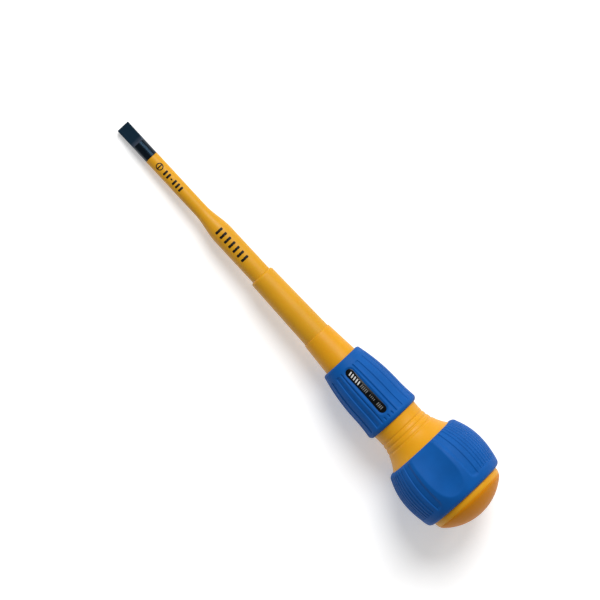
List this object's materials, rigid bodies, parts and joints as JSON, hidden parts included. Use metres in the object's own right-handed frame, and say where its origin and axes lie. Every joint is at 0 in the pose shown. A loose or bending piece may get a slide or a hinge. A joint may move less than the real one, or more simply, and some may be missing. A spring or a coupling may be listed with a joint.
{
  "type": "insulated screwdriver",
  "caption": "Insulated slotted screwdriver with a stepped yellow shaft, a ribbed fast-turn sleeve and a soft ball grip with thumb dimples.",
  "frame": {"origin": "centre of the blade's end face", "axes": "+X along the tool axis from the blade's end to the dome, +Z out of the label plate, +Y across the blade's width"},
  "size_m": [0.1851, 0.0358, 0.0351],
  "materials": {
    "blade_steel": "blackened, ground flats dull and round shank glossy",
    "yellow_insulation": "satin",
    "yellow_handle": "satin",
    "yellow_core": "as moulded",
    "blue_grip": "soft satin",
    "black_label": "gloss"
  },
  "bodies": {
    "root": {"blade": "blade_steel", "shaft_insulation": "yellow_insulation", "shaft_collar": "yellow_insulation", "handle_core": "yellow_core", "handle_body": "yellow_handle", "end_cap": "yellow_handle", "front_sleeve": "blue_grip", "label_plate": "black_label", "ball_grip": "blue_grip"}
  },
  "joints": []
}
